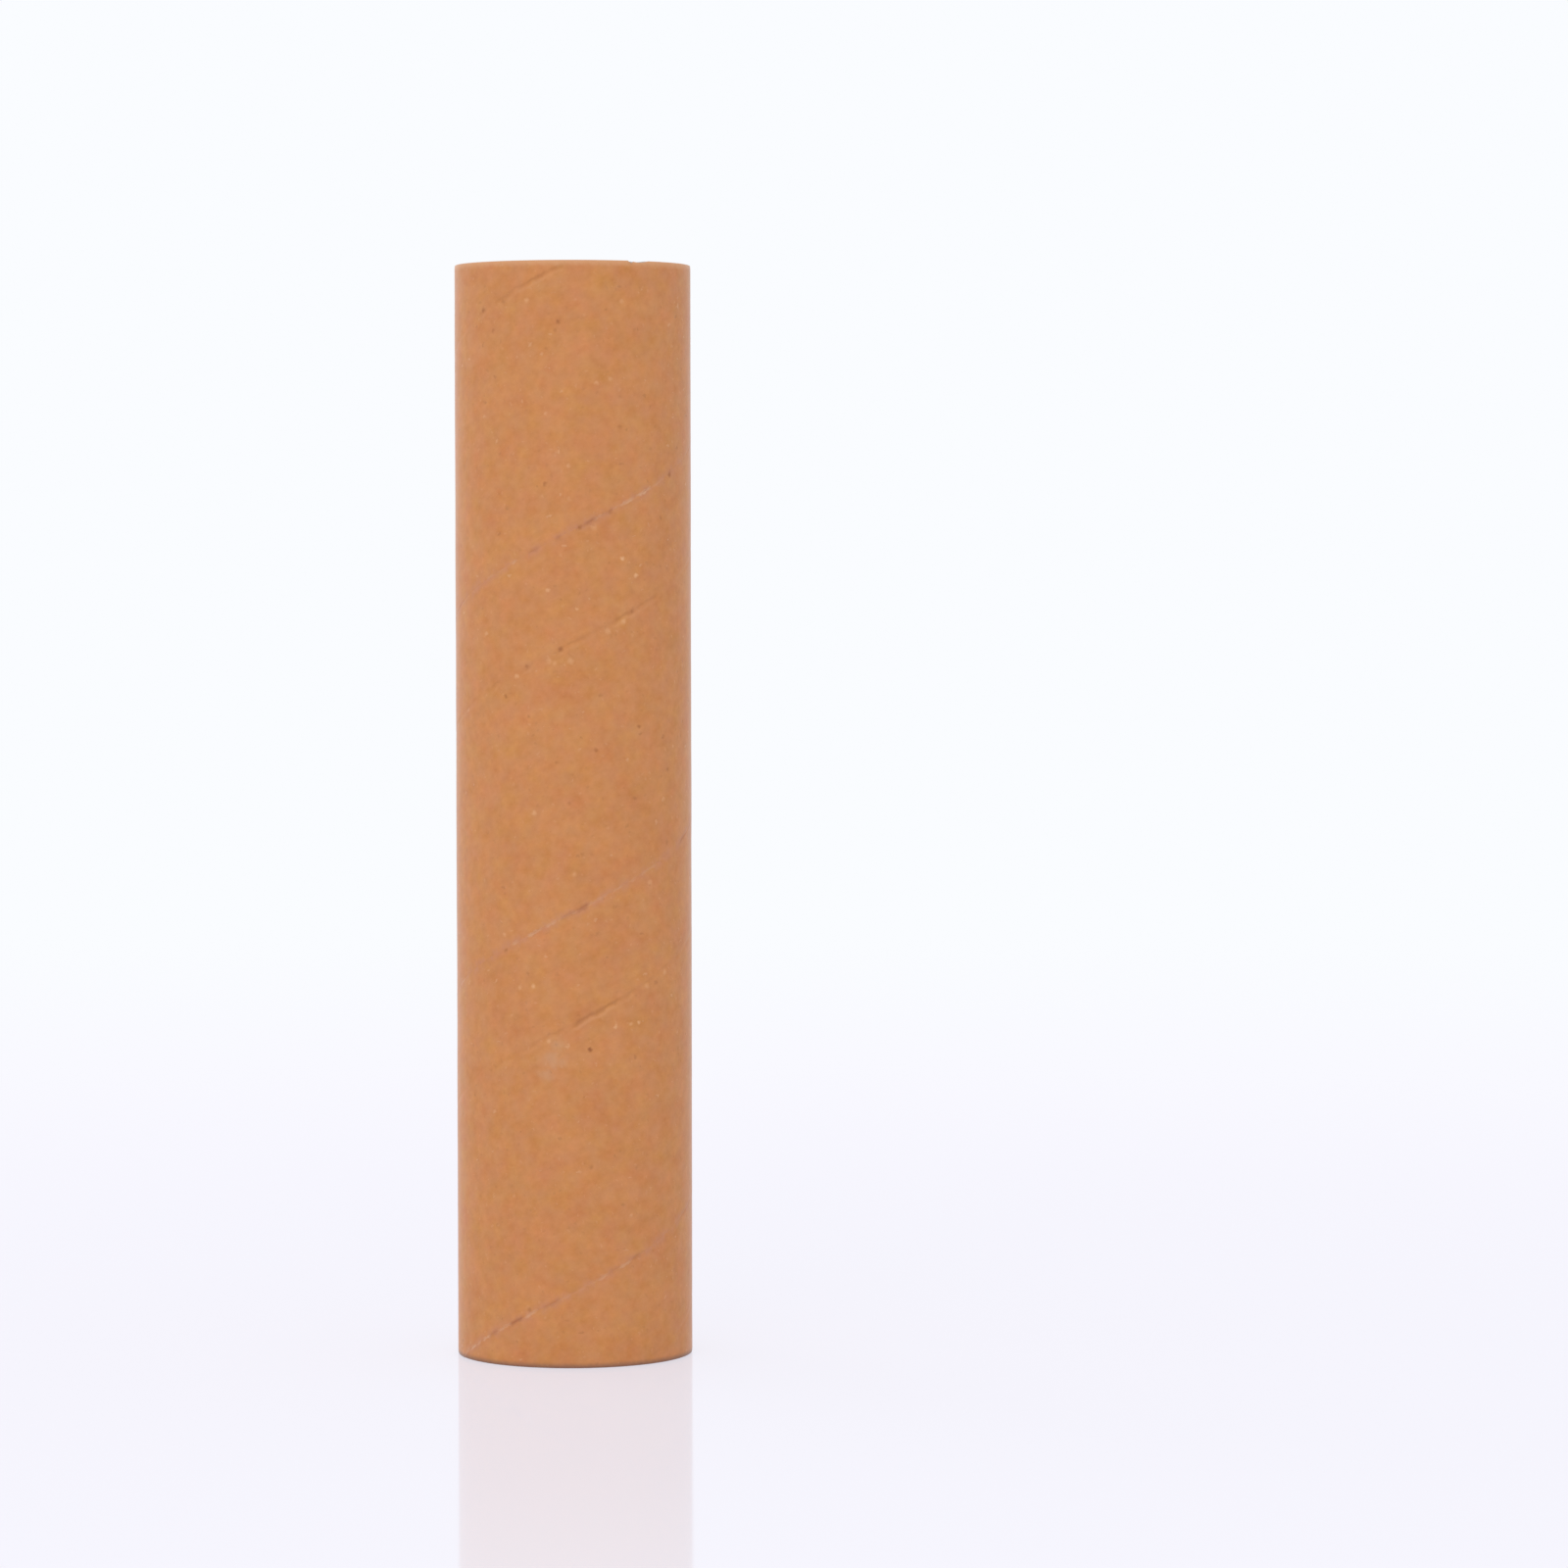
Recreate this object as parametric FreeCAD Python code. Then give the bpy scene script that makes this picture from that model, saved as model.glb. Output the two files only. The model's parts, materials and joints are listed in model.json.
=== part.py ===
import FreeCAD, Part
import math
import os
from FreeCAD import Vector

# Spiral-wound cardboard mailing tube, open at both ends, standing on its foot.
# Millimetres and degrees. The axis is Z, the foot is at Z = 0, and the front is the -Y side.

# Size of the tube
BORE_DIAMETER = 50.0
LENGTH = 250.0

# Plies of the wall, from the bore outwards
LINER_THICKNESS = 0.3
BOARD_PLY_THICKNESS = 0.35
BOARD_PLIES = 4
WRAP_THICKNESS = 0.3

# Every ply is a long strip, wound as a right-handed helix beside its own last turn.
# The strip's width sets the angle of the winding.
STRIP_WIDTH = 76.7

# Butt seams of the two paper plies: the edges meet, and are worn back to a V at the face
SEAM_WIDTH = 0.4
SEAM_DEPTH = 0.2

# Open joint of the outermost board ply, and the crease where the wrap sinks over it
BOARD_JOINT_GAP = 0.8
CREASE_WIDTH = 1.6
CREASE_DEPTH = 0.12

# Height at which each seam first crosses the middle of the front
WRAP_SEAM_HEIGHT = 16.9
BOARD_JOINT_HEIGHT = 77.9
LINER_SEAM_HEIGHT = 45.0

# How far a cutting solid stands out past the face that it cuts
CUTTER_OVERLAP = 0.2

# Radii of the faces between the plies
bore_radius = BORE_DIAMETER / 2
core_inner_radius = bore_radius + LINER_THICKNESS
core_outer_radius = core_inner_radius + BOARD_PLIES * BOARD_PLY_THICKNESS
outer_radius = core_outer_radius + WRAP_THICKNESS

# Rise of the winding in one turn
circumference = 2 * math.pi * outer_radius
winding_angle = math.asin(STRIP_WIDTH / circumference)
lead = circumference * math.tan(winding_angle)

# The side that a groove is cut from
FROM_OUTSIDE = 1
FROM_BORE = -1


def ring(inner_radius, ring_radius):
    """Plain tube of the full length between two radii."""
    outside = Part.makeCylinder(ring_radius, LENGTH)
    inside = Part.makeCylinder(inner_radius, LENGTH)
    return outside.cut(inside)


def height_across(width):
    """Height, measured up the tube, of a line this wide that runs along the winding."""
    return width / math.cos(winding_angle)


def helical_cutter(outline, front_height):
    """Solid that follows the winding from below the foot to above the head.

    The outline is a closed polygon of (radius, height) points. Its zero height
    crosses the middle of the front at front_height, and again a lead above.
    """
    turns_below = math.ceil(front_height / lead) + 1
    start_height = front_height - turns_below * lead
    turns = math.ceil((LENGTH - start_height) / lead) + 1
    mean_radius = sum(radius for radius, height in outline) / len(outline)
    helix = Part.makeLongHelix(lead, turns * lead, mean_radius, 0, False)
    corners = [Vector(radius, 0, height) for radius, height in outline]
    section = Part.makePolygon(corners + corners[:1])
    cutter = Part.Wire(helix).makePipeShell([section], True, True)
    cutter.rotate(Vector(0, 0, 0), Vector(0, 0, 1), -90)
    cutter.translate(Vector(0, 0, start_height))
    return cutter


def groove_cutter(face_radius, side, width, depth, front_height):
    """Cutter for a V-shaped groove, of this width at the face, along the winding."""
    tip_radius = face_radius - side * depth
    top_radius = face_radius + side * CUTTER_OVERLAP
    half_at_face = height_across(width) / 2
    half_at_top = half_at_face * (depth + CUTTER_OVERLAP) / depth
    outline = [(tip_radius, 0), (top_radius, -half_at_top), (top_radius, half_at_top)]
    return helical_cutter(outline, front_height)


def slot_cutter(floor_radius, top_radius, width, front_height):
    """Cutter for a straight-sided gap between two edges of a board strip."""
    half = height_across(width) / 2
    outline = [(floor_radius, -half), (top_radius, -half), (top_radius, half), (floor_radius, half)]
    return helical_cutter(outline, front_height)


def outer_wrap():
    """Outer kraft ply, with its butt seam and the crease above the board's open joint."""
    seam = groove_cutter(outer_radius, FROM_OUTSIDE, SEAM_WIDTH, SEAM_DEPTH, WRAP_SEAM_HEIGHT)
    crease = groove_cutter(outer_radius, FROM_OUTSIDE, CREASE_WIDTH, CREASE_DEPTH, BOARD_JOINT_HEIGHT)
    return ring(core_outer_radius, outer_radius).cut(seam).cut(crease)


def board_core():
    """Glued board plies as one wall, with the open joint of the outermost ply."""
    joint_floor = core_outer_radius - BOARD_PLY_THICKNESS
    joint_top = core_outer_radius + CUTTER_OVERLAP
    joint = slot_cutter(joint_floor, joint_top, BOARD_JOINT_GAP, BOARD_JOINT_HEIGHT)
    return ring(core_inner_radius, core_outer_radius).cut(joint)


def inner_liner():
    """Kraft ply that faces the bore, with its butt seam."""
    seam = groove_cutter(bore_radius, FROM_BORE, SEAM_WIDTH, SEAM_DEPTH, LINER_SEAM_HEIGHT)
    return ring(bore_radius, core_inner_radius).cut(seam)


os.makedirs("parts", exist_ok=True)
outer_wrap().exportStep("parts/outer_wrap.step")
board_core().exportStep("parts/board_core.step")
inner_liner().exportStep("parts/inner_liner.step")
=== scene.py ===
import json
import math

import bpy
import numpy as np
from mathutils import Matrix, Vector, noise


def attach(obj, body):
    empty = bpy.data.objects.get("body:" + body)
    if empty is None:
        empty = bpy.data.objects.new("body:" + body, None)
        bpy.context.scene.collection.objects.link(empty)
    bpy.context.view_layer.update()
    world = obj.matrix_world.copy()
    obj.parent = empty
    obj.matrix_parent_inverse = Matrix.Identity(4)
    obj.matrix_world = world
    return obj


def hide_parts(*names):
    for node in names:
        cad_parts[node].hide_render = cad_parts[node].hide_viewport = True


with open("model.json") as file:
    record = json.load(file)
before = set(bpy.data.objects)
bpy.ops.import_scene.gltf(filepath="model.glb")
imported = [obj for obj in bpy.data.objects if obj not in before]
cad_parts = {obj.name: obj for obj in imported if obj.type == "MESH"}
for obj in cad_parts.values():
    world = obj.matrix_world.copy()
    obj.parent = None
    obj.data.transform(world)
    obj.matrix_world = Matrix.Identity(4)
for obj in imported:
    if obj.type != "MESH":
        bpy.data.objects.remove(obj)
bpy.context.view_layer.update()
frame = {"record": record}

# A spiral-wound cardboard mailing tube that stands on its foot. Metres; the axis is Z and the front is -Y.
MM = 0.001

# Sizes that the frame states
mounts = {mount["name"]: mount for mount in frame["record"]["mounts"]}
LENGTH = mounts["bore"]["dims"]["length_mm"] * MM
BORE_RADIUS = mounts["bore"]["dims"]["r_mm"] * MM
OUTER_RADIUS = mounts["outside"]["dims"]["r_mm"] * MM

# Plies of the wall
WRAP_THICKNESS = 0.3 * MM
LINER_THICKNESS = 0.3 * MM
BOARD_PLIES = 4
CORE_INNER_RADIUS = BORE_RADIUS + LINER_THICKNESS
CORE_OUTER_RADIUS = OUTER_RADIUS - WRAP_THICKNESS
BOARD_PLY_THICKNESS = (CORE_OUTER_RADIUS - CORE_INNER_RADIUS) / BOARD_PLIES

# Winding: the strip's width sets its angle, and the angle sets the rise in one turn
STRIP_WIDTH = 76.7 * MM
WINDING_ANGLE = math.asin(STRIP_WIDTH / (math.tau * OUTER_RADIUS))
LEAD = math.tau * OUTER_RADIUS * math.tan(WINDING_ANGLE)

# Heights at which the seams first cross the middle of the front
WRAP_SEAM_HEIGHT = 16.9 * MM
BOARD_JOINT_HEIGHT = 77.9 * MM
LINER_SEAM_HEIGHT = 45.0 * MM

# Grooves along the winding, as wide and deep as they are at the face
SEAM_WIDTH = 0.5 * MM
SHUT_SEAM_DEPTH = 0.04 * MM
OPEN_SEAM_DEPTH = 0.13 * MM
CREASE_WIDTH = 1.8 * MM
CREASE_DEPTH = 0.13 * MM
JOINT_WIDTH = 0.84 * MM

# The wrap sinks most over the lower edge of the board's open joint
CREASE_HEIGHT = BOARD_JOINT_HEIGHT - 0.5 * MM

# The saw rounds the rims a little, and leaves each layer rough, up to this deep
RIM_HEIGHT = 0.7 * MM
WRAP_RIM_INSET = 0.2 * MM
LINER_RIM_INSET = 0.12 * MM
SAW_GRAIN = 0.7 * MM
SAWN_PAPER = 0.12 * MM
SAWN_BOARD = 0.18 * MM
SAWN_GLUE = 0.24 * MM

# A knock left a sharp nick and a long dip in the head's rim: degrees from the front, half length
# along the rim, and depth
NICK_DEGREES = 31.8
NICKS = ((NICK_DEGREES, 0.6 * MM, 0.55 * MM), (36.5, 2.4 * MM, 0.4 * MM))
NICK_FADE = 1.6 * MM

# Fineness of the meshes
STEPS_A_TURN = 360
ROW_SPACING = 2.6 * MM
WELD = 0.002 * MM
ON_END = 0.0002 * MM
CUT_THRESHOLD = 0.0001 * MM


# The camera of the photograph
CAMERA_PLACE = (48.4 * MM, -1268.4 * MM, 185.6 * MM)
CAMERA_DIP = 2.46
CAMERA_ROLL = 0.07
CAMERA_LENS = 126.7


def add_camera():
    turn = (math.radians(90 - CAMERA_DIP), math.radians(CAMERA_ROLL), 0)
    bpy.ops.object.camera_add(location=CAMERA_PLACE, rotation=turn)
    camera = bpy.context.object
    camera.data.lens = CAMERA_LENS
    camera.data.sensor_width = 36
    camera.data.clip_end = 20
    bpy.context.scene.camera = camera


def rgb(red, green, blue):
    """A colour as it looks on a screen, from 0 to 255, made linear for a shader."""
    shares = [channel / 255 for channel in (red, green, blue)]
    linear = [s / 12.92 if s <= 0.04045 else ((s + 0.055) / 1.055) ** 2.4 for s in shares]
    return (*linear, 1)


class Wire:
    """A socket of a finish. Sums written with it add the Math nodes that work them out."""

    def __init__(self, finish, socket):
        self.finish = finish
        self.socket = socket

    def __add__(self, other):
        return self.finish.sum("ADD", self, other)

    def __sub__(self, other):
        return self.finish.sum("SUBTRACT", self, other)

    def __rsub__(self, other):
        return self.finish.sum("SUBTRACT", other, self)

    def __mul__(self, other):
        return self.finish.sum("MULTIPLY", self, other)

    def __truediv__(self, other):
        return self.finish.sum("DIVIDE", self, other)

    __radd__ = __add__
    __rmul__ = __mul__


class Finish:
    """A material's nodes, built from the surface back to the patterns that feed it."""

    def __init__(self, name):
        self.material = bpy.data.materials.new(name)
        self.material.use_nodes = True
        self.tree = self.material.node_tree
        self.shader = self.tree.nodes["Principled BSDF"]

    def node(self, kind, settings=None, sockets=None, output=0):
        """Adds a node: its settings first, then the values or wires of its sockets."""
        made = self.tree.nodes.new("ShaderNode" + kind)
        for name, value in (settings or {}).items():
            setattr(made, name, value)
        for name, value in (sockets or {}).items():
            self.feed(made.inputs[name], value)
        return Wire(self, made.outputs[output])

    def feed(self, socket, value):
        if isinstance(value, Wire):
            self.tree.links.new(value.socket, socket)
        else:
            socket.default_value = value

    def sum(self, operation, first, second):
        return self.node("Math", {"operation": operation}, {0: first, 1: second})

    def vector(self, operation, first, second):
        return self.node("VectorMath", {"operation": operation}, {0: first, 1: second})

    def mix(self, share, first, second):
        """Colour that goes from first to second as share goes from 0 to 1."""
        settings = {"data_type": "RGBA", "clamp_factor": True}
        return self.node("Mix", settings, {0: share, 6: first, 7: second}, output=2)

    def step(self, value, low, high, top=1.0):
        """Soft step: 0 below low, top above high. With low above high it falls instead."""
        settings = {"interpolation_type": "SMOOTHSTEP"}
        return self.node("MapRange", settings, {0: value, 1: low, 2: high, 3: 0.0, 4: top})

    def noise(self, place, scale, detail=2.0, roughness=0.5):
        sockets = {"Vector": place, "Scale": scale, "Detail": detail, "Roughness": roughness}
        return self.node("TexNoise", {}, sockets)

    def crooked(self, place, scale, reach):
        """The place, pushed about by up to half of reach, so that round marks turn out crooked."""
        cloud = self.node("TexNoise", {}, {"Vector": place, "Scale": scale, "Detail": 2.0}, output=1)
        centred = self.vector("SUBTRACT", cloud, (0.5, 0.5, 0.5))
        return self.vector("ADD", place, self.vector("MULTIPLY", centred, (reach, reach, reach)))

    def parts(self, vector):
        """The three numbers of a vector or colour."""
        first = self.node("SeparateXYZ", {}, {0: vector})
        outputs = first.socket.node.outputs
        return [Wire(self, output) for output in outputs]

    def spots(self, place, cell, radius, share):
        """Mask of scattered specks, one in some of the cells of a loose net. Sizes are those of place."""
        net = {"Vector": place, "Scale": 1 / cell}
        away = self.node("TexVoronoi", {}, net) * cell
        chance, size = self.parts(self.node("TexVoronoi", {}, net, output=1))[:2]
        reach = radius * (0.45 + 0.8 * size)
        return self.step(away, reach, 0.35 * reach) * self.step(chance, share, share - 0.02)


def deselect_all():
    if bpy.context.object and bpy.context.object.mode == "EDIT":
        bpy.ops.object.mode_set(mode="OBJECT")
    bpy.ops.object.select_all(action="DESELECT")


def corners(piece):
    """The piece's vertices as an array of points."""
    found = np.empty(len(piece.data.vertices) * 3)
    piece.data.vertices.foreach_get("co", found)
    return found.reshape(-1, 3)


def select_corners(piece, chosen):
    """Selects, in edit mode, the vertices that the array of true and false names."""
    bpy.ops.object.mode_set(mode="EDIT")
    bpy.ops.mesh.select_mode(type="VERT")
    bpy.ops.mesh.select_all(action="DESELECT")
    bpy.ops.object.mode_set(mode="OBJECT")
    piece.data.vertices.foreach_set("select", chosen)
    bpy.ops.object.mode_set(mode="EDIT")
    bpy.ops.mesh.select_mode(type="VERT")


def from_axis(points):
    return np.hypot(points[:, 0], points[:, 1])


def turn_from_front(points):
    """Angle round the axis, 0 at the front and growing to the right, in turns."""
    return (np.arctan2(points[:, 1], points[:, 0]) / math.tau + 0.25) % 1.0


def height_in_strip(points, front_height):
    """Height above the seam's next pass below, from 0 to LEAD."""
    return (points[:, 2] - front_height - LEAD * turn_from_front(points)) % LEAD


def height_from_seam(points, front_height):
    """Height to the nearest pass of the seam, up or down."""
    height = height_in_strip(points, front_height)
    return np.minimum(height, LEAD - height)


def rows_of_strip(crowds):
    """Heights of the rows of vertices, crowded round each (centre, offsets) and even between."""
    fixed = {0.0, LEAD}
    for centre, offsets in crowds:
        for offset in offsets:
            fixed.update(h for h in (centre - offset, centre + offset) if 0 < h < LEAD)
    fixed = sorted(fixed)
    rows = []
    for low, high in zip(fixed[:-1], fixed[1:]):
        parts = math.ceil((high - low) / ROW_SPACING - 0.01)
        rows += [low + (high - low) * part / parts for part in range(parts)]
    return rows + [LEAD]


def extrude_line(points):
    """Open line through the points, drawn by extruding one vertex from each to the next."""
    deselect_all()
    bpy.ops.mesh.primitive_plane_add(size=1 * MM, location=points[0])
    bpy.ops.object.transform_apply(location=True)
    bpy.ops.object.mode_set(mode="EDIT")
    bpy.ops.mesh.merge(type="CENTER")
    for here, there in zip(points[:-1], points[1:]):
        bpy.ops.mesh.extrude_region_move(TRANSFORM_OT_translate={"value": there - here})
    bpy.ops.object.mode_set(mode="OBJECT")
    return bpy.context.object


def wind(profile, front_height, facing):
    """The face that one line up the front makes when it is wound like the strip.

    It looks away from the axis where facing is 1, and into the bore where it is -1.
    """
    turns_below = math.ceil(front_height / LEAD) + 1
    start = front_height - turns_below * LEAD
    face = extrude_line([Vector((0, -radius, start + height)) for height, radius in profile])
    winding = face.modifiers.new("winding", "SCREW")
    winding.axis = "Z"
    winding.angle = math.tau
    winding.screw_offset = LEAD
    winding.iterations = math.ceil((LENGTH - start) / LEAD)
    winding.steps = STEPS_A_TURN
    winding.render_steps = STEPS_A_TURN
    bpy.ops.object.modifier_apply(modifier=winding.name)
    bpy.ops.object.mode_set(mode="EDIT")
    bpy.ops.mesh.select_all(action="SELECT")
    bpy.ops.mesh.remove_doubles(threshold=WELD)
    bpy.ops.object.mode_set(mode="OBJECT")
    first = face.data.polygons[0]
    if first.normal.xy.dot(first.center.xy) * facing < 0:
        bpy.ops.object.mode_set(mode="EDIT")
        bpy.ops.mesh.flip_normals()
        bpy.ops.object.mode_set(mode="OBJECT")
    return face


def trim_ends():
    """Cuts the active piece off square at the foot and at the head, with level rows by both rims."""
    bpy.ops.object.mode_set(mode="EDIT")
    for height, side in ((0, -1), (LENGTH, 1)):
        bpy.ops.mesh.select_all(action="SELECT")
        bpy.ops.mesh.bisect(
            plane_co=(0, 0, height), plane_no=(0, 0, side), clear_outer=True, threshold=CUT_THRESHOLD
        )
    for share in (0.12, 0.4, 1.0):
        for height in (RIM_HEIGHT * share, LENGTH - RIM_HEIGHT * share):
            bpy.ops.mesh.select_all(action="SELECT")
            bpy.ops.mesh.bisect(plane_co=(0, 0, height), plane_no=(0, 0, 1), threshold=CUT_THRESHOLD)
    bpy.ops.mesh.select_all(action="SELECT")
    bpy.ops.mesh.remove_doubles(threshold=WELD)
    bpy.ops.object.mode_set(mode="OBJECT")


def saw_ends(piece, chosen, name, depth):
    """Leaves the chosen vertices rough, up to this deep, where they are on either end."""
    for height, down in ((LENGTH, -1), (0, 1)):
        here = (np.abs(corners(piece)[:, 2] - height) < ON_END) & chosen
        push(piece, name, here * 1.0, down * depth, "Z", SAW_GRAIN)


def height_from_end(points):
    return np.minimum(points[:, 2], LENGTH - points[:, 2])


def select_open_rim(piece, height):
    """Selects, in edit mode, the open edge of a wound face that is nearer to this height."""
    bpy.ops.object.mode_set(mode="EDIT")
    bpy.ops.mesh.select_mode(type="VERT")
    bpy.ops.mesh.select_all(action="DESELECT")
    bpy.ops.mesh.select_non_manifold(
        use_wire=False, use_multi_face=False, use_non_contiguous=False, use_verts=False
    )
    bpy.ops.object.mode_set(mode="OBJECT")
    chosen = np.empty(len(piece.data.vertices), bool)
    piece.data.vertices.foreach_get("select", chosen)
    select_corners(piece, chosen & (np.abs(corners(piece)[:, 2] - height) < LENGTH / 2))


def round_rims(piece, inset):
    """Turns both rims of a wound face back by a quarter of an ellipse, and keeps them level."""
    near = np.clip(1 - height_from_end(corners(piece)) / RIM_HEIGHT, 0, 1)
    push(piece, "rounded_rims", 1 - np.sqrt(1 - near**2), -inset)
    for height in (0, LENGTH):
        select_open_rim(piece, height)
        bpy.ops.transform.resize(value=(1, 1, 0), center_override=(0, 0, height))
        bpy.ops.object.mode_set(mode="OBJECT")


def add_nicks(piece):
    """Knocks in the rim of the head. The nicks go through the wall, and are shallower at the bore."""
    place = corners(piece)
    outwards = (from_axis(place) - BORE_RADIUS) / (OUTER_RADIUS - BORE_RADIUS)
    share = (0.5 + 0.5 * outwards) * np.clip(1 - (LENGTH - place[:, 2]) / NICK_FADE, 0, 1)
    drop = np.zeros(len(place))
    for degrees, reach, depth in NICKS:
        away = np.abs(turn_from_front(place) - degrees / 360) * math.tau * OUTER_RADIUS / reach
        drop = np.maximum(drop, depth / MM * np.clip(1 - away**2, 0, 1))
    push(piece, "nicks", share * drop, -MM, "Z")


def add_far_wall(piece, radii):
    """Gives a wound face its thickness: rings across both ends, then the wall behind, bridged."""
    for height in (0, LENGTH):
        select_open_rim(piece, height)
        for radius in radii:
            bpy.ops.mesh.extrude_region_move(TRANSFORM_OT_translate={"value": (0, 0, 0)})
            bpy.ops.object.mode_set(mode="OBJECT")
            for corner in piece.data.vertices:
                if corner.select:
                    corner.co.xy = corner.co.xy.normalized() * radius
            bpy.ops.object.mode_set(mode="EDIT")
    bpy.ops.object.mode_set(mode="OBJECT")
    place = corners(piece)
    at_end = (np.abs(place[:, 2]) < ON_END) | (np.abs(place[:, 2] - LENGTH) < ON_END)
    at_far_wall = np.abs(from_axis(place) - radii[-1]) < WELD
    select_corners(piece, at_end & at_far_wall)
    bpy.ops.mesh.bridge_edge_loops()
    bpy.ops.mesh.select_all(action="SELECT")
    bpy.ops.mesh.normals_make_consistent(inside=False)
    bpy.ops.object.mode_set(mode="OBJECT")
    face_outwards(piece)


def of_faces(piece, kind):
    """The centres or the normals of the piece's faces, as an array."""
    found = np.empty(len(piece.data.polygons) * 3)
    piece.data.polygons.foreach_get(kind, found)
    return found.reshape(-1, 3)


def face_outwards(piece):
    """Flips a closed piece if its faces farthest from the axis look towards the axis."""
    centres = of_faces(piece, "center")
    radius = from_axis(centres)
    outermost = radius > radius.max() - 0.05 * MM
    looking = (centres[:, :2] * of_faces(piece, "normal")[:, :2]).sum(axis=1)
    if looking[outermost].sum() < 0:
        bpy.ops.object.mode_set(mode="EDIT")
        bpy.ops.mesh.flip_normals()
        bpy.ops.object.mode_set(mode="OBJECT")


def push(piece, name, share, distance, direction="NORMAL", cloud=None, middle=0.0):
    """Moves vertices by up to this distance. Share says how far each one follows.

    With a cloud of this size the distance varies softly from place to place. Vertices then move
    one way only where middle is 0, and as much one way as the other where it is 0.5.
    """
    group = piece.vertex_groups.new(name=name)
    for index in np.flatnonzero(share > 0.001):
        group.add([int(index)], float(share[index]), "REPLACE")
    displace = piece.modifiers.new(name, "DISPLACE")
    if cloud:
        displace.texture = bpy.data.textures.new(name, "CLOUDS")
        displace.texture.noise_scale = cloud
        displace.texture_coords = "LOCAL"
    displace.vertex_group = name
    displace.direction = direction
    displace.strength = distance
    displace.mid_level = middle
    bpy.ops.object.modifier_apply(modifier=displace.name)
    piece.vertex_groups.remove(piece.vertex_groups[name])


def map_strip(piece, radius, front_height):
    """UV map of the flat strip: each face corner's place along and across it, in metres."""
    angle = math.atan(LEAD / (math.tau * radius))
    mesh = piece.data
    place = corners(piece)
    centres = of_faces(piece, "center")
    starts = np.empty(len(mesh.polygons), int)
    counts = np.empty(len(mesh.polygons), int)
    mesh.polygons.foreach_get("loop_start", starts)
    mesh.polygons.foreach_get("loop_total", counts)
    owner = np.repeat(np.arange(len(starts)), counts)
    corner = np.empty(len(mesh.loops), int)
    mesh.loops.foreach_get("vertex_index", corner)
    face_turns = (centres[:, 2] - front_height - height_in_strip(centres, front_height)) / LEAD
    swing = turn_from_front(place)[corner] - turn_from_front(centres)[owner]
    turns = face_turns[owner] + (swing + 0.5) % 1.0 - 0.5
    round_it = math.tau * radius * turns
    up_it = place[corner, 2] - front_height
    along = round_it * math.cos(angle) + up_it * math.sin(angle)
    across = up_it * math.cos(angle) - round_it * math.sin(angle)
    strip = mesh.uv_layers.new(name="strip")
    strip.data.foreach_set("uv", np.stack([along, across], 1).ravel())


def seam_turns(piece, front_height):
    """Turns up the seam, from its first pass of the front, at the pass nearest to each vertex."""
    place = corners(piece)
    height = height_in_strip(place, front_height)
    turns = (place[:, 2] - front_height - height) / LEAD
    return turns + (height > LEAD / 2)


def in_spans(turns, spans, fade):
    """Strength, at each place, of the (pass, first degree, last degree, strength) spans.

    Each one fades out over this many degrees inside its ends.
    """
    inside = np.zeros(len(turns))
    for seam_pass, first, last, strength in spans:
        from_middle = np.abs(360 * (turns - seam_pass) - (first + last) / 2)
        inside = np.maximum(inside, strength * np.clip(((last - first) / 2 - from_middle) / fade, 0, 1))
    return inside


def wavering(turns, pace, seed):
    """Number from 0 to 1 that wavers along the seam, the same on every run."""
    return np.array([0.5 + 0.5 * noise.noise(Vector((turn * pace, seed, 0))) for turn in turns])


def paint(piece, name, values):
    piece.data.attributes.new(name, "FLOAT", "POINT").data.foreach_set("value", values)


def smooth(piece):
    deselect_all()
    piece.select_set(True)
    bpy.context.view_layer.objects.active = piece
    bpy.ops.object.shade_smooth_by_angle(angle=math.radians(50))


# The front of the tube, where the wear of the seam is listed. The pass is 0 for the
# lowest crossing of the front, and grows by 1 with each turn up. The rest wears by chance.
FRONT_SPANS = ((0, -66, -14, 1), (1, -66, 66, 1), (2, -66, 66, 1))

# Where pale torn fibres stand up along the seam. Their pale band is partly a painted highlight on the
# lifted edge.
TORN_SPANS = (
    (0, -66, -60.5, 0.8), (0, -60, -54, 1), (0, -54, -50, 0.7), (0, -49.5, -43.5, 1), (0, -39, -30, 0.55),
    (0, -23, -16, 0.8),
    (1, -30, -25.5, 0.6), (1, -21.5, -13, 0.75), (1, -12, -6, 0.7), (1, -6, 4, 0.35), (1, 8, 19, 0.4),
    (1, 20.5, 26.5, 0.45), (1, 29.5, 33.5, 0.35), (1, 35.5, 46, 0.4),
    (2, -44, -39, 0.4), (2, -30, -25.5, 0.6), (2, 11, 18.5, 0.5), (2, 21.5, 24.5, 0.6),
    (2, 24.5, 33, 0.9), (2, 33.5, 43, 1), (2, 43, 52, 0.3),
)

# Where the seam stands open and deeper, and its gap is painted dark as shade
PARTED_SPANS = (
    (0, -44.5, -38, 0.6), (0, -32, -23.5, 1), (1, -19, -13, 0.4), (1, -5, 4, 0.7), (1, 3, 10, 0.9),
    (2, -20, -14, 0.6), (2, -7, -3, 0.7), (2, 3, 8, 0.6), (2, 7, 14.5, 0.9), (2, 15, 19, 0.6),
    (2, 18.5, 22, 0.9), (2, 37, 42, 0.5), (2, 54.5, 58, 0.9),
)
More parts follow.
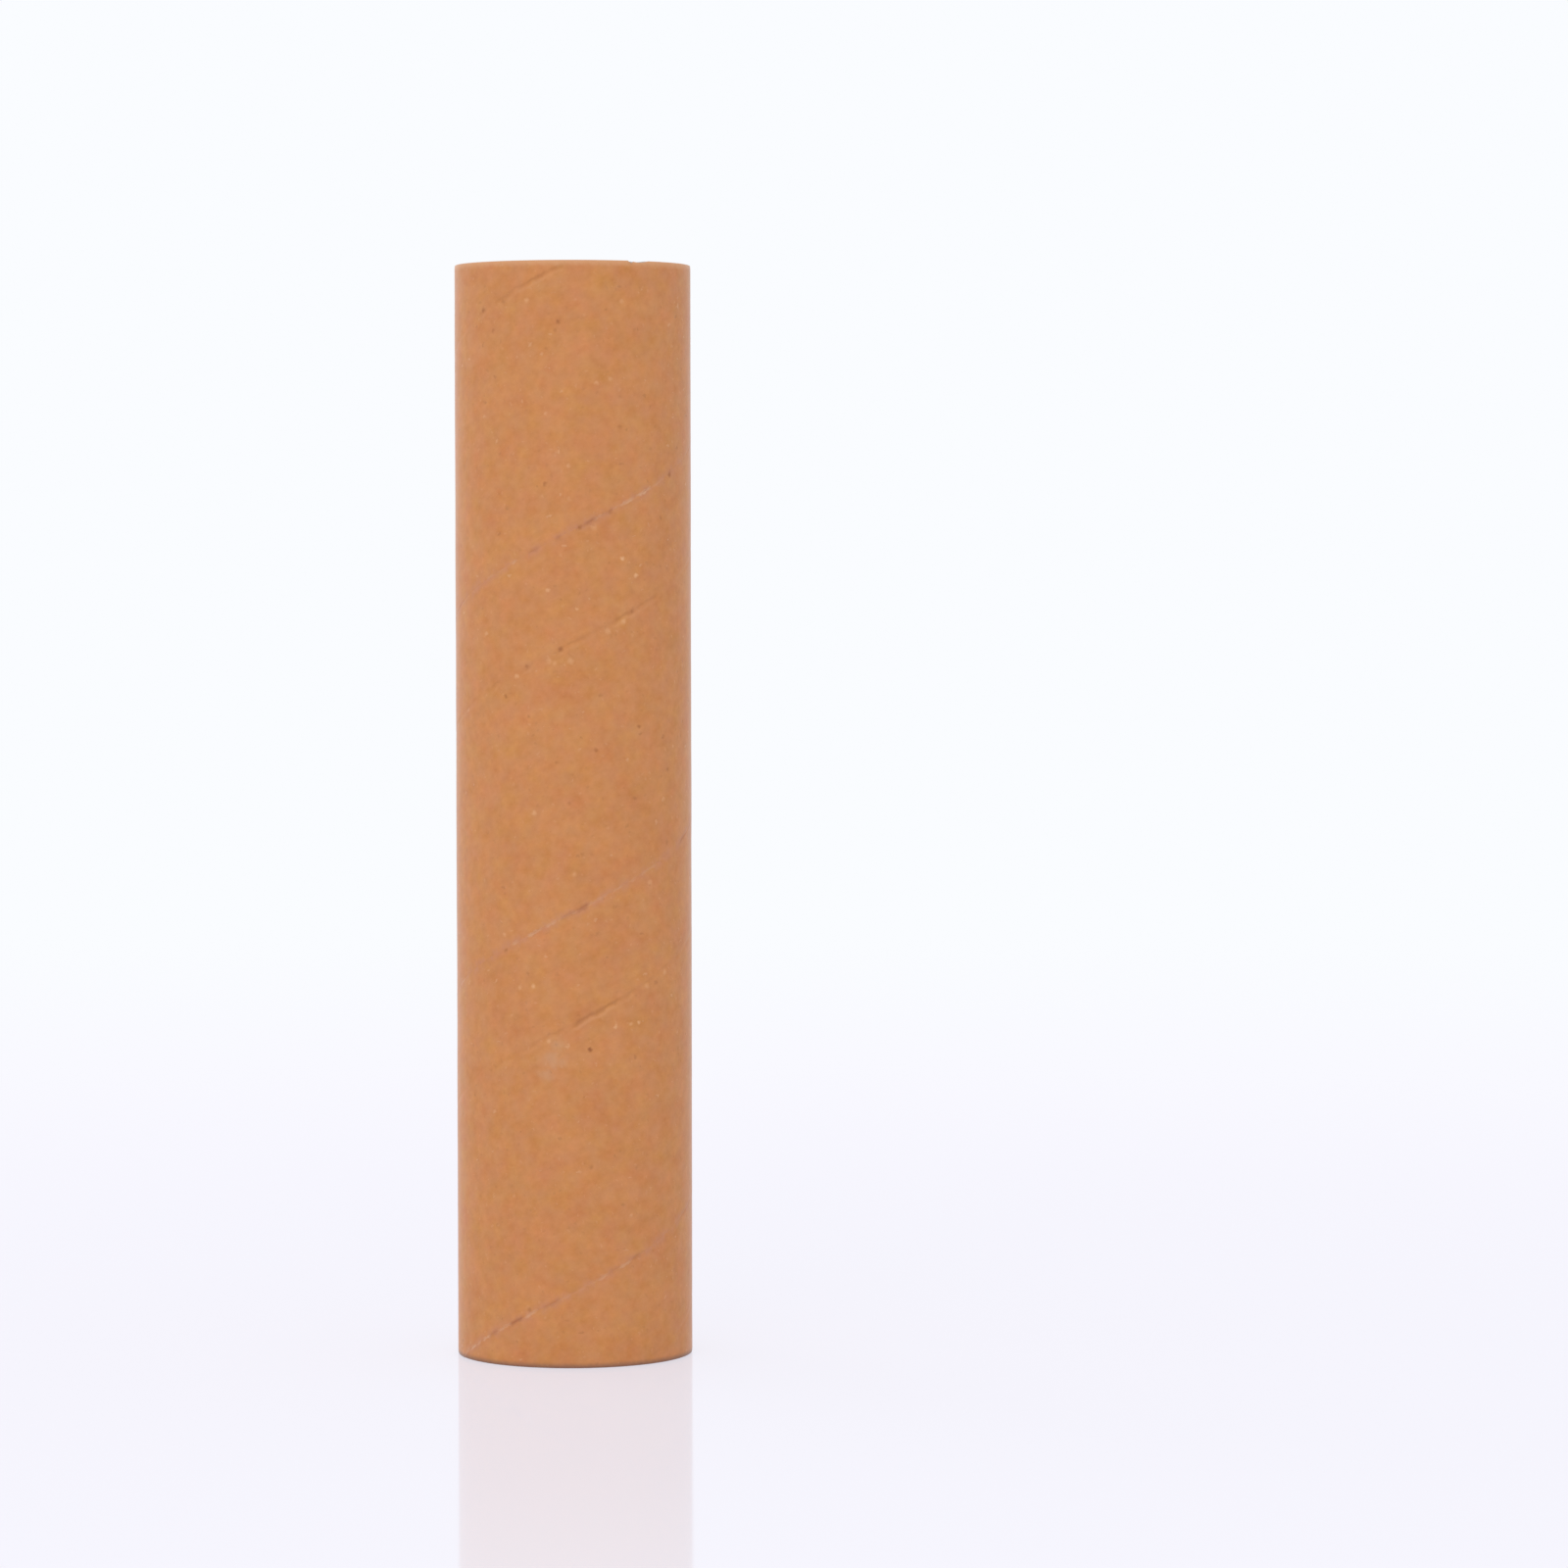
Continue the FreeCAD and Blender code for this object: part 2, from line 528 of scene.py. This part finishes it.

# Where the crease is sharp enough to show as a line of painted shade, with a painted highlight below it,
# counted like the seam's passes
CREASED_SPANS = (
    (0, -14, -2, 0.45), (0, 0, 25, 1), (0, 23, 33, 0.5), (0, 37, 43, 0.4), (0, 48, 55, 0.4),
    (1, -42, -35, 0.5), (1, -24, -17, 0.5), (1, -7, -1, 0.6), (1, -3, 10, 0.5), (1, 21, 35, 0.7),
    (1, 32, 48, 0.4), (2, -49, -43, 0.8), (2, -39, -26, 0.4), (2, -29, -19, 0.5),
    (2, -23, -9, 0.8), (2, -11, 0, 0.6),
)

# Degrees over which the wear fades out at the ends of its spans
SEAM_FADE = 1.5
CREASE_FADE = 3

SEAM_OFFSETS = [offset * MM for offset in (0.11, 0.224, 0.4, 0.8, 1.6)]
CREASE_OFFSETS = [offset * MM for offset in (0, 0.2, 0.4, 0.65, 1.01, 1.8)]
JOINT_OFFSETS = [offset * MM for offset in (0.0, 0.46, 0.5, 1.2)]
HALF_SEAM = SEAM_WIDTH / 2 / math.cos(WINDING_ANGLE)
HALF_CREASE = CREASE_WIDTH / 2 / math.cos(WINDING_ANGLE)
HALF_JOINT = JOINT_WIDTH / 2 / math.cos(WINDING_ANGLE)
crease_centre = (CREASE_HEIGHT - WRAP_SEAM_HEIGHT) % LEAD


def seam_depth(height):
    """Depth of the V where a paper strip meets its own last turn."""
    return SHUT_SEAM_DEPTH * max(0, 1 - min(height, LEAD - height) / HALF_SEAM)


def crease_depth(height):
    """Depth of the soft valley in the wrap."""
    away = min(1, abs(height - crease_centre) / HALF_CREASE)
    return CREASE_DEPTH * (0.5 + 0.5 * math.cos(math.pi * away))


def joint_depth(height):
    """Depth of the open joint in the outermost board ply."""
    return BOARD_PLY_THICKNESS if min(height, LEAD - height) < HALF_JOINT else 0


def by_chance(turns, seed):
    """Patches of short lumps along the seam, from 0 to 1."""
    patches = np.clip((wavering(turns, 9, seed) - 0.45) * 5, 0, 1)
    return patches * np.clip((wavering(turns, 60, seed + 5) - 0.4) * 5, 0, 1)


def wear_of_seam(piece):
    """How torn and how parted the wrap's seam is beside each vertex."""
    turns = seam_turns(piece, WRAP_SEAM_HEIGHT)
    behind = 1 - in_spans(turns, FRONT_SPANS, SEAM_FADE)
    torn = np.maximum(in_spans(turns, TORN_SPANS, SEAM_FADE), behind * by_chance(turns, 3))
    parted = np.maximum(in_spans(turns, PARTED_SPANS, SEAM_FADE), behind * by_chance(turns, 23))
    return torn, parted


def wear_of_crease(piece):
    """How sharp the crease is beside each vertex."""
    turns = seam_turns(piece, CREASE_HEIGHT)
    chance = np.clip((wavering(turns, 7, 11) - 0.5) * 2, 0, 0.5)
    return np.maximum(in_spans(turns, CREASED_SPANS, CREASE_FADE), chance)


def make_wrap():
    rows = rows_of_strip([(0, SEAM_OFFSETS), (LEAD, SEAM_OFFSETS), (crease_centre, CREASE_OFFSETS)])
    profile = [(h, OUTER_RADIUS - max(seam_depth(h), crease_depth(h))) for h in rows]
    wrap = wind(profile, WRAP_SEAM_HEIGHT, 1)
    near_seam = height_from_seam(corners(wrap), WRAP_SEAM_HEIGHT)
    torn, parted = wear_of_seam(wrap)
    bottom = np.clip(1 - near_seam / HALF_SEAM, 0, 1)
    lips = np.clip(1 - np.abs(near_seam - HALF_SEAM) / HALF_SEAM, 0, 1)
    beside = np.clip(1 - near_seam / (2 * MM), 0, 1) * (0.3 + 0.7 * torn)
    near_crease = height_from_seam(corners(wrap), CREASE_HEIGHT)
    fading = np.clip(1 - near_crease / HALF_CREASE, 0, 1) * (1 - wear_of_crease(wrap))
    in_seam = (near_seam < HALF_SEAM * 1.2) * 1.0
    push(wrap, "parted_seam", bottom * parted, SHUT_SEAM_DEPTH - OPEN_SEAM_DEPTH)
    push(wrap, "torn_lips", lips * torn, 0.07 * MM)
    push(wrap, "ragged_seam", in_seam, 0.4 * MM, "Z", cloud=0.9 * MM, middle=0.5)
    push(wrap, "uneven_lips", beside, 0.16 * MM, cloud=1.5 * MM, middle=0.5)
    push(wrap, "faded_crease", fading, 0.75 * CREASE_DEPTH)
    push(wrap, "unevenness", np.ones(len(lips)), 0.12 * MM, cloud=22 * MM, middle=0.5)
    trim_ends()
    round_rims(wrap, WRAP_RIM_INSET)
    add_far_wall(wrap, [CORE_OUTER_RADIUS])
    saw_ends(wrap, from_axis(corners(wrap)) > CORE_OUTER_RADIUS + WELD, "sawn_wrap", SAWN_PAPER)
    add_nicks(wrap)
    map_strip(wrap, OUTER_RADIUS, WRAP_SEAM_HEIGHT)
    torn, parted = wear_of_seam(wrap)
    paint(wrap, "torn", torn)
    paint(wrap, "parted", parted)
    paint(wrap, "creased", wear_of_crease(wrap))
    return wrap


def make_core():
    rows = rows_of_strip([(0, JOINT_OFFSETS), (LEAD, JOINT_OFFSETS)])
    core = wind([(h, CORE_OUTER_RADIUS - joint_depth(h)) for h in rows], BOARD_JOINT_HEIGHT, 1)
    trim_ends()
    half_ply = BOARD_PLY_THICKNESS / 2
    rings = [CORE_OUTER_RADIUS - ring * half_ply for ring in range(1, 2 * BOARD_PLIES + 1)]
    add_far_wall(core, rings)
    place = corners(core)
    radius = from_axis(place)
    middle_rings = (radius < CORE_OUTER_RADIUS - WELD) & (radius > CORE_INNER_RADIUS + WELD)
    between_plies = np.abs((CORE_OUTER_RADIUS - radius) / BOARD_PLY_THICKNESS % 1.0 - 0.5) > 0.4
    saw_ends(core, middle_rings & between_plies, "sawn_glue", SAWN_GLUE)
    saw_ends(core, middle_rings & ~between_plies, "sawn_board", SAWN_BOARD)
    add_nicks(core)
    return core


def make_liner():
    rows = rows_of_strip([(0, SEAM_OFFSETS), (LEAD, SEAM_OFFSETS)])
    liner = wind([(h, BORE_RADIUS + seam_depth(h)) for h in rows], LINER_SEAM_HEIGHT, -1)
    near_seam = height_from_seam(corners(liner), LINER_SEAM_HEIGHT)
    parted = np.clip(1 - near_seam / HALF_SEAM, 0, 1)
    push(liner, "parted_seam", parted, SHUT_SEAM_DEPTH - OPEN_SEAM_DEPTH)
    trim_ends()
    round_rims(liner, LINER_RIM_INSET)
    add_far_wall(liner, [CORE_INNER_RADIUS])
    saw_ends(liner, from_axis(corners(liner)) < CORE_INNER_RADIUS - WELD, "sawn_liner", SAWN_PAPER)
    add_nicks(liner)
    map_strip(liner, BORE_RADIUS, LINER_SEAM_HEIGHT)
    return liner


def on_wrap(degrees, height):
    """Point of the wrap's face, in millimetres, at an angle from the front and a height."""
    angle = math.radians(degrees)
    radius = OUTER_RADIUS / MM
    return (radius * math.sin(angle), -radius * math.cos(angle), height)


# Single flecks and stains that show on the wrap: degrees from the front, height, radius, strength. The last
# dark one is painted shade inside the nick of the head's rim.
PALE_FLECKS = (
    (26.4, 183.0, 0.8, 1), (33.9, 179.2, 0.75, 0.8), (-10, 175.9, 0.8, 0.6), (3.6, 171.7, 0.6, 0.5),
    (0.1, 203.8, 0.8, 0.4), (13.4, 222.5, 0.8, 0.45), (20.6, 223.4, 0.8, 0.4), (-17.2, 125.8, 0.8, 0.5),
    (-17.9, 86.6, 0.8, 0.7), (-25.1, 86.1, 0.7, 0.4), (22.3, 77.4, 0.8, 0.7), (30.5, 77.9, 0.7, 0.5),
    (34.9, 78.0, 0.7, 0.8), (2.3, 111.9, 0.8, 0.35), (41.6, 109.7, 1.0, 0.35), (51.5, 89, 1.1, 0.4),
    (-26.2, 156.5, 0.8, 0.6), (18.9, 166.7, 1.1, 0.35), (27, 168.8, 0.95, 0.5), (0.8, 160, 1.1, 0.4),
    (-9.6, 160, 0.95, 0.35), (39.6, 86.2, 1.0, 0.3), (-10.2, 74.2, 0.8, 0.5), (-20.3, 241, 0.95, 0.4),
    (26.3, 240.8, 0.8, 0.35), (-33.4, 98.1, 0.8, 0.4), (12, 190, 1.1, 0.3), (-7, 159.5, 0.8, 0.3),
)
DARK_FLECKS_AND_NICK_SHADE = (
    (-4.8, 236.1, 0.85, 0.8), (-6.3, 234.4, 0.7, 0.35), (-46, 239.1, 0.8, 0.6), (-39.3, 234.4, 0.7, 0.4),
    (-11.3, 199.9, 0.8, 0.6), (25.1, 212.7, 0.8, 0.35), (-32.3, 152, 0.8, 0.65), (35.4, 145.1, 0.8, 0.7),
    (14.9, 152.3, 0.7, 0.35), (12.9, 139.9, 0.8, 0.6), (54.2, 135.1, 0.8, 0.5), (-6, 137.3, 0.7, 0.4),
    (-32.8, 94.5, 0.75, 0.5), (9.6, 72.2, 0.8, 1), (6.1, 116.5, 0.7, 0.4), (56.3, 201.9, 0.8, 0.6),
    (-3.9, 162.6, 0.8, 0.8), (31.6, 171.1, 0.6, 0.5), (53.3, 118.6, 0.8, 0.35), (0.1, 128, 0.7, 0.35),
    (9.9, 45.6, 0.8, 0.4), (5.4, 190.1, 0.7, 0.6), (-21, 158.8, 0.7, 0.5), (-33, 240.9, 0.8, 0.4),
    # The last one is no fleck: it is painted shade inside the nick
    (-20.5, 13.1, 0.7, 0.5), (NICK_DEGREES, 249.7, 0.8, 1),
)
STAINS = ((-6.5, 73.5, 3.0, 0.4), (-9.5, 70, 3.6, 0.5), (-12, 66.5, 2.4, 0.4), (-4, 69.5, 2.2, 0.35))


def marks(finish, places, cell, reach):
    """Mask of soft marks at the given places, made crooked by clouds of this cell and reach."""
    place = finish.vector("MULTIPLY", finish.node("TexCoord", {}, output=3), (1000, 1000, 1000))
    place = finish.crooked(place, 1 / cell, reach)
    mask = 0.0
    for degrees, height, radius, strength in places:
        ends = {0: place, 1: on_wrap(degrees, height)}
        away = finish.node("VectorMath", {"operation": "DISTANCE"}, ends, output=1)
        mask = finish.sum("MAXIMUM", finish.step(away, radius, 0.1 * radius, strength), mask)
    return mask


def strip_place(finish):
    """Place on the unrolled strip, in millimetres: along it, and across it."""
    return finish.vector("MULTIPLY", finish.node("UVMap", {"uv_map": "strip"}), (1000, 1000, 0))


def kraft(name, yellowish, pinkish, dusty, pale_fleck, dark_fleck):
    """Kraft paper. Each of its two hues is a brown and a pale shade, and dusty is its dull patches."""
    finish = Finish(name)
    strip = strip_place(finish)
    crooked = finish.crooked(strip, 0.9, 1.6)
    cloud = finish.noise(strip, 0.1, 2)
    hue = finish.noise(finish.vector("ADD", strip, (90, 10, 0)), 0.17, 2.5)
    dust = finish.noise(finish.vector("ADD", strip, (40, 70, 0)), 0.26, 3)
    blotch = finish.noise(strip, 0.42, 3, 0.6)
    fibre = finish.noise(finish.vector("MULTIPLY", strip, (0.7, 1.3, 1)), 1.2, 4, 0.6)
    flecks = finish.spots(finish.vector("MULTIPLY", crooked, (0.7, 1.1, 1)), 3.3, 0.5, 0.5)
    specks = finish.spots(finish.vector("MULTIPLY", crooked, (0.9, 1, 1)), 4.1, 0.55, 0.5)
    small_flecks = finish.spots(finish.vector("ADD", crooked, (30, 0, 0)), 1.7, 0.4, 0.6)
    small_specks = finish.spots(finish.vector("ADD", crooked, (60, 0, 0)), 2.0, 0.45, 0.6)
    pale = finish.sum("MAXIMUM", flecks, small_flecks * 0.5)
    dark = finish.sum("MAXIMUM", specks, small_specks * 0.5)
    tone = 0.5 + (cloud - 0.5) * 0.5 + (blotch - 0.5) * 0.8 + (fibre - 0.5) * 0.2
    hue_share = 0.5 + (hue - 0.5) * 1.8
    colour = finish.mix(hue_share, finish.mix(tone, *yellowish), finish.mix(tone, *pinkish))
    colour = finish.mix((dust - 0.34) * 0.75, colour, dusty)
    colour = finish.mix(pale * 0.38, colour, pale_fleck)
    colour = finish.mix(dark * 0.34, colour, dark_fleck)
    height = fibre * 0.012 + blotch * 0.03 + pale * 0.05 - dark * 0.03
    return finish, colour, height


def finish_paper(finish, colour, height, roughness):
    bump = finish.node("Bump", {}, {"Strength": 1.0, "Distance": MM, "Height": height})
    finish.feed(finish.shader.inputs["Base Color"], colour)
    finish.feed(finish.shader.inputs["Normal"], bump)
    finish.feed(finish.shader.inputs["Roughness"], roughness)
    finish.shader.inputs["Specular IOR Level"].default_value = 0.3
    finish.shader.inputs["Sheen Weight"].default_value = 0.45
    finish.shader.inputs["Sheen Roughness"].default_value = 0.3
    return finish.material


def from_line(finish, across, line):
    """Distance from a line along the strip, which the strip's two edges share."""
    away = finish.sum("ABSOLUTE", across - line, 0)
    return finish.sum("MINIMUM", away, STRIP_WIDTH / MM - away)


def wrap_finish():
    """The wrap's kraft, with its seam and the painted shade of its open gap, the line of the crease in
    painted shade with a painted highlight below, its rims with a painted contact shadow at the foot and a
    painted highlight at the head, and single marks, one of them painted shade in the nick.
    """
    yellowish = (rgb(184, 117, 54), rgb(217, 154, 88))
    pinkish = (rgb(188, 112, 62), rgb(221, 148, 95))
    dusty = rgb(198, 145, 109)
    finish, colour, height = kraft(
        "kraft_wrap", yellowish, pinkish, dusty, pale_fleck=rgb(226, 172, 126), dark_fleck=rgb(158, 102, 60)
    )
    strip = strip_place(finish)
    across = finish.parts(strip)[1]
    crease_line = crease_centre * math.cos(WINDING_ANGLE) / MM
    ragged = finish.noise(finish.vector("MULTIPLY", strip, (1, 0.25, 1)), 1.0, 3, 0.7)
    lump = finish.noise(finish.vector("MULTIPLY", strip, (1, 0.4, 1)), 0.6, 2)
    swell = finish.noise(finish.vector("MULTIPLY", strip, (1, 0.2, 1)), 0.2, 2)
    torn = finish.node("Attribute", {"attribute_name": "torn"}, output=2)
    parted = finish.node("Attribute", {"attribute_name": "parted"}, output=2)
    creased = finish.node("Attribute", {"attribute_name": "creased"}, output=2)
    wandering = across + (lump - 0.5) * 0.9
    from_seam = from_line(finish, wandering, 0)
    # Pale torn fibres along the seam, partly a painted highlight where the lifted edge catches light
    half_band = 0.3 + finish.step(ragged, 0.3, 0.7) * 0.45
    torn_and_lit_band = finish.step(from_seam, half_band, half_band * 0.2) * (0.55 + 0.45 * finish.step(lump, 0.35, 0.6))
    patch = finish.noise(finish.vector("MULTIPLY", strip, (1, 0.5, 1)), 0.35, 2)
    greyed = finish.step(from_seam + (ragged - 0.5) * 1.5, 1.9, 0.2)
    greyed_share = 0.1 + 0.4 * finish.step(patch, 0.42, 0.6)
    # Painted shade in the gap where the seam stands open
    painted_gap_shade = finish.step(from_seam + (ragged - 0.5) * 0.6, 0.85, 0.1)
    # Along the crease, a painted shade line on the valley and a painted highlight just below it
    half_crease_shade = 0.45 + finish.step(swell, 0.4, 0.6) * 0.5
    bent = wandering + (swell - 0.5) * 1.5
    painted_crease_shade = finish.step(from_line(finish, bent, crease_line + 0.35), half_crease_shade, 0.0)
    painted_crease_highlight = finish.step(from_line(finish, bent, crease_line - 0.7), 0.6, 0.1)
    colour = finish.mix(greyed * greyed_share, colour, rgb(198, 136, 104))
    colour = finish.mix(painted_crease_highlight * creased * 0.25, colour, rgb(222, 164, 116))
    colour = finish.mix(painted_crease_shade * creased * 0.36, colour, rgb(152, 92, 48))
    colour = finish.mix(painted_gap_shade * parted * 0.5, colour, rgb(160, 98, 66))
    colour = finish.mix(torn_and_lit_band * torn * 0.8, colour, rgb(214, 164, 126))
    colour = finish.mix(marks(finish, STAINS, 4, 4), colour, rgb(204, 158, 122))
    pale = marks(finish, PALE_FLECKS, 0.9, 1.0)
    # The dark marks include painted shade in the nick
    dark = marks(finish, DARK_FLECKS_AND_NICK_SHADE, 0.9, 1.0)
    colour = finish.mix(pale, colour, rgb(230, 174, 124))
    colour = finish.mix(dark, colour, rgb(160, 98, 54))
    up = finish.parts(finish.node("TexCoord", {}, output=3))[2] * 1000
    # Painted contact shadow along the foot's rim
    painted_foot_shadow = finish.step(up + (ragged - 0.5) * 0.6, 1.5, 0.1)
    # Painted highlight along the head's rim
    painted_head_highlight = finish.step(LENGTH / MM - up + (ragged - 0.5) * 1.2, 1.7, 0.1)
    colour = finish.mix(painted_foot_shadow * 0.8, colour, rgb(128, 94, 80))
    colour = finish.mix(painted_head_highlight * 0.6, colour, rgb(224, 170, 126))
    roughness = 0.58 + 0.12 * finish.noise(strip, 0.8)
    return finish_paper(finish, colour, height + pale * 0.08 - dark * 0.05, roughness)


def liner_finish():
    yellowish = (rgb(158, 104, 60), rgb(194, 136, 88))
    pinkish = (rgb(162, 99, 64), rgb(198, 131, 92))
    dusty = rgb(176, 128, 96)
    finish, colour, height = kraft(
        "kraft_liner", yellowish, pinkish, dusty, pale_fleck=rgb(206, 150, 104), dark_fleck=rgb(126, 78, 44)
    )
    return finish_paper(finish, colour, height, 0.75)


def board_finish():
    """Grey recycled board, sawn across: soft pale and dark patches, fibres, and faint lines of glue."""
    finish = Finish("grey_board")
    place = finish.vector("MULTIPLY", finish.node("TexCoord", {}, output=3), (1000, 1000, 1000))
    flat_place = finish.vector("MULTIPLY", place, (1, 1, 0))
    radius = finish.node("VectorMath", {"operation": "LENGTH"}, {0: flat_place}, output=1)
    wobble = finish.noise(place, 0.7, 2) * 0.12
    plies = (radius + wobble - CORE_INNER_RADIUS / MM) / (BOARD_PLY_THICKNESS / MM)
    from_glue = finish.sum("PINGPONG", plies, 0.5)
    glue = finish.step(from_glue, 0.14, 0.0) * finish.step(finish.noise(place, 0.5), 0.4, 0.65)
    fibre = finish.noise(place, 2.2, 4, 0.7)
    patch = finish.noise(place, 0.35, 3)
    tone = 0.5 + (fibre - 0.5) * 1.7 + (patch - 0.5) * 2.2
    pale_fibres = finish.spots(place, 0.9, 0.24, 0.55)
    dark_fibres = finish.spots(finish.vector("ADD", place, (50, 0, 0)), 1.1, 0.2, 0.5)
    colour = finish.mix(tone, rgb(138, 126, 116), rgb(198, 178, 172))
    colour = finish.mix(glue * 0.4, colour, rgb(118, 100, 88))
    colour = finish.mix(pale_fibres * 0.7, colour, rgb(222, 208, 200))
    colour = finish.mix(dark_fibres * 0.6, colour, rgb(98, 82, 72))
    height = fibre * 0.06 - glue * 0.05
    return finish_paper(finish, colour, height, 0.9)


def dress(piece, name, node, material):
    """Names a finished piece, gives it its material, and puts it in place of its CAD node."""
    piece.name = name
    piece.data.name = name
    piece.data.materials.clear()
    piece.data.materials.append(material)
    smooth(piece)
    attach(piece, "root")
    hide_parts(node)


# The table is white. It keeps the tube's shadow and reflection near the tube, and away from it, in
# metres, it fades into the backdrop
BACKDROP = rgb(250, 252, 255)
NEAR_TABLE = rgb(248, 246, 255)
TABLE_COLOUR = rgb(246, 244, 255)
TABLE_SIZE = 8.0
TABLE_MIRROR = 0.2
TABLE_GLOW = 0.76
FADE_FROM = 0.1
FADE_TO = 0.7
FADE_TO_BACKDROP = 1.5

# The sky lights the tube evenly. One soft lamp comes from the front, a little to the left, and a
# fainter one from behind on the left, which catches the edge there. Each has a place and a size in
# metres, and a power in watts. The table doesn't mirror them.
SKY_LIGHT = 0.86
LAMPS = (
    ("soft_window", (-0.5, -1.7, 0.7), 1.2, 5.5),
    ("edge_light", (-1.1, 1.0, 0.5), 0.8, 3.0),
)


def seen_directly(finish):
    """1 on rays from the camera, or through glass or off a gloss, and 0 on rays that light things."""
    path = finish.node("LightPath", {}).socket.node.outputs
    kinds = ("Is Camera Ray", "Is Glossy Ray", "Is Transmission Ray")
    camera, glossy, through = (Wire(finish, path[kind]) for kind in kinds)
    return finish.sum("MAXIMUM", camera, finish.sum("MAXIMUM", glossy, through))


def add_table():
    deselect_all()
    bpy.ops.mesh.primitive_plane_add(size=TABLE_SIZE, location=(0, 0, 0))
    table = bpy.context.object
    table.name = "table_top"
    finish = Finish("white_table")
    place = finish.node("TexCoord", {}, output=3)
    away = finish.node("VectorMath", {"operation": "LENGTH"}, {0: place}, output=1)
    glow = TABLE_GLOW + (1 - TABLE_GLOW) * finish.step(away, FADE_FROM, FADE_TO)
    matt = finish.node("BsdfDiffuse", {}, {"Color": TABLE_COLOUR})
    glow_colour = finish.mix(finish.step(away, 0.0, FADE_TO_BACKDROP), NEAR_TABLE, BACKDROP)
    lit_table = finish.node("Emission", {}, {"Color": glow_colour, "Strength": 1.0})
    top = finish.node("MixShader", {}, {0: glow * seen_directly(finish), 1: matt, 2: lit_table})
    gloss = finish.node("BsdfGlossy", {}, {"Color": (1, 1, 1, 1), "Roughness": 0.06})
    mirror = TABLE_MIRROR * finish.step(away, FADE_TO, FADE_FROM)
    surface = finish.node("MixShader", {}, {0: mirror, 1: top, 2: gloss})
    finish.tree.links.new(surface.socket, finish.tree.nodes["Material Output"].inputs["Surface"])
    finish.tree.nodes.remove(finish.shader)
    table.data.materials.append(finish.material)


class Sky(Finish):
    """The world's nodes."""

    def __init__(self):
        world = bpy.data.worlds.new("white_room")
        world.use_nodes = True
        bpy.context.scene.world = world
        self.tree = world.node_tree
        self.shader = self.tree.nodes["Background"]


def add_light():
    sky = Sky()
    seen = seen_directly(sky)
    sky.feed(sky.shader.inputs["Color"], BACKDROP)
    sky.feed(sky.shader.inputs["Strength"], seen * (1 - SKY_LIGHT) + SKY_LIGHT)
    for name, place, size, power in LAMPS:
        aim = Vector((0, 0, LENGTH / 2)) - Vector(place)
        turn = aim.to_track_quat("-Z", "Y").to_euler()
        bpy.ops.object.light_add(type="AREA", location=place, rotation=turn)
        lamp = bpy.context.object
        lamp.name = name
        lamp.data.size = size
        lamp.data.energy = power
        lamp.visible_camera = False
        lamp.visible_glossy = False


add_camera()
add_table()
add_light()
dress(make_wrap(), "outer_wrap_paper", "outer_wrap", wrap_finish())
dress(make_core(), "board_core_plies", "board_core", board_finish())
dress(make_liner(), "inner_liner_paper", "inner_liner", liner_finish())
bpy.context.scene.view_settings.view_transform = "Standard"
